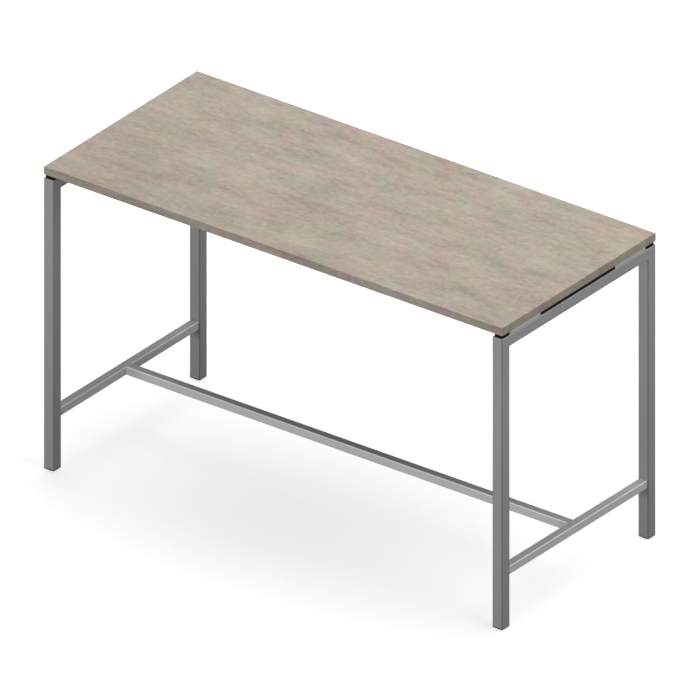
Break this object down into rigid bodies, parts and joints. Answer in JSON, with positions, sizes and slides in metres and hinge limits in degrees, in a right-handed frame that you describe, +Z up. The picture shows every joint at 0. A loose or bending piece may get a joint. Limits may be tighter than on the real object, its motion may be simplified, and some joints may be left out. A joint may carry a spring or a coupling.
{
  "type": "standing meeting table",
  "caption": "High rectangular meeting table: streaked beige-grey panel above a shadow gap, silver square-tube end frames, low foot rails with a long stretcher, and screw levelling feet.",
  "frame": {"origin": "on the floor, under the centre of the panel, with the levelling feet screwed fully in", "axes": "+X along the length of the table, +Y across it from the front long side to the rear one, +Z up"},
  "size_m": [1.8, 0.8, 1.075],
  "materials": {
    "panel_decor": "matte decor with fine lengthwise streaks in beige, grey and pale rose",
    "edge_band": "matte, in the decor colour, a little darker",
    "silver_steel": "silver-grey powder coat, satin, a little darker along the rounded edges",
    "rail_silver": "lighter silver powder coat, satin",
    "black_plastic": "black moulded plastic, fine matte texture",
    "zinc_steel": "bright zinc plating"
  },
  "bodies": {
    "table": {"beam_end_plate_front_left": "silver_steel", "beam_end_plate_front_right": "silver_steel", "beam_end_plate_rear_left": "silver_steel", "beam_end_plate_rear_right": "silver_steel", "beam_panel_screws": "zinc_steel", "beam_plate_bolts": "zinc_steel", "beam_plate_nuts": "zinc_steel", "beam_spacer_front_left": "black_plastic", "beam_spacer_front_middle": "black_plastic", "beam_spacer_front_right": "black_plastic", "beam_spacer_rear_left": "black_plastic", "beam_spacer_rear_middle": "black_plastic", "beam_spacer_rear_right": "black_plastic", "centre_spacer_left": "black_plastic", "centre_spacer_right": "black_plastic", "corner_spacer_front_left": "black_plastic", "corner_spacer_front_right": "black_plastic", "corner_spacer_rear_left": "black_plastic", "corner_spacer_rear_right": "black_plastic", "corner_spacer_screws": "zinc_steel", "crossbar_panel_screws": "zinc_steel", "edge_band_front": "edge_band", "edge_band_left": "edge_band", "edge_band_rear": "edge_band", "edge_band_right": "edge_band", "foot_rail_left": "rail_silver", "foot_rail_right": "rail_silver", "foot_stretcher": "rail_silver", "foot_thread_nuts": "zinc_steel", "leg_front_left": "silver_steel", "leg_front_right": "silver_steel", "leg_plug_front_left": "black_plastic", "leg_plug_front_right": "black_plastic", "leg_plug_rear_left": "black_plastic", "leg_plug_rear_right": "black_plastic", "leg_rear_left": "silver_steel", "leg_rear_right": "silver_steel", "stretcher_lock_screws": "zinc_steel", "stretcher_spigot_left": "silver_steel", "stretcher_spigot_right": "silver_steel", "support_beam_front": "silver_steel", "support_beam_rear": "silver_steel", "support_strip_front_left": "rail_silver", "support_strip_front_right": "rail_silver", "support_strip_rear_left": "rail_silver", "support_strip_rear_right": "rail_silver", "tabletop_panel": "panel_decor", "top_crossbar_left": "silver_steel", "top_crossbar_right": "silver_steel"},
    "foot_front_left": {"foot_pad_front_left": "black_plastic"},
    "stud_front_left": {"foot_stud_front_left": "zinc_steel"},
    "foot_rear_left": {"foot_pad_rear_left": "black_plastic"},
    "stud_rear_left": {"foot_stud_rear_left": "zinc_steel"},
    "foot_front_right": {"foot_pad_front_right": "black_plastic"},
    "stud_front_right": {"foot_stud_front_right": "zinc_steel"},
    "foot_rear_right": {"foot_pad_rear_right": "black_plastic"},
    "stud_rear_right": {"foot_stud_rear_right": "zinc_steel"}
  },
  "joints": [
    {"name": "foot_height_front_left", "type": "slide", "parent": "table", "child": "foot_front_left", "axis": [0, 0, -1], "range_m": [0, 0.0125]},
    {"name": "stud_turn_front_left", "type": "hinge", "parent": "foot_front_left", "child": "stud_front_left", "pos_m": [-0.88, -0.38, 0.008], "axis": [0, 0, -1], "range_deg": [0, 3600]},
    {"name": "foot_height_rear_left", "type": "slide", "parent": "table", "child": "foot_rear_left", "axis": [0, 0, -1], "range_m": [0, 0.0125]},
    {"name": "stud_turn_rear_left", "type": "hinge", "parent": "foot_rear_left", "child": "stud_rear_left", "pos_m": [-0.88, 0.38, 0.008], "axis": [0, 0, -1], "range_deg": [0, 3600]},
    {"name": "foot_height_front_right", "type": "slide", "parent": "table", "child": "foot_front_right", "axis": [0, 0, -1], "range_m": [0, 0.0125]},
    {"name": "stud_turn_front_right", "type": "hinge", "parent": "foot_front_right", "child": "stud_front_right", "pos_m": [0.88, -0.38, 0.008], "axis": [0, 0, -1], "range_deg": [0, 3600]},
    {"name": "foot_height_rear_right", "type": "slide", "parent": "table", "child": "foot_rear_right", "axis": [0, 0, -1], "range_m": [0, 0.0125]},
    {"name": "stud_turn_rear_right", "type": "hinge", "parent": "foot_rear_right", "child": "stud_rear_right", "pos_m": [0.88, 0.38, 0.008], "axis": [0, 0, -1], "range_deg": [0, 3600]}
  ],
  "couplings": [
    {"joint": "stud_turn_front_left", "follows": "foot_height_front_left", "rad_per_m": 5026.5},
    {"joint": "stud_turn_rear_left", "follows": "foot_height_rear_left", "rad_per_m": 5026.5},
    {"joint": "stud_turn_front_right", "follows": "foot_height_front_right", "rad_per_m": 5026.5},
    {"joint": "stud_turn_rear_right", "follows": "foot_height_rear_right", "rad_per_m": 5026.5}
  ]
}
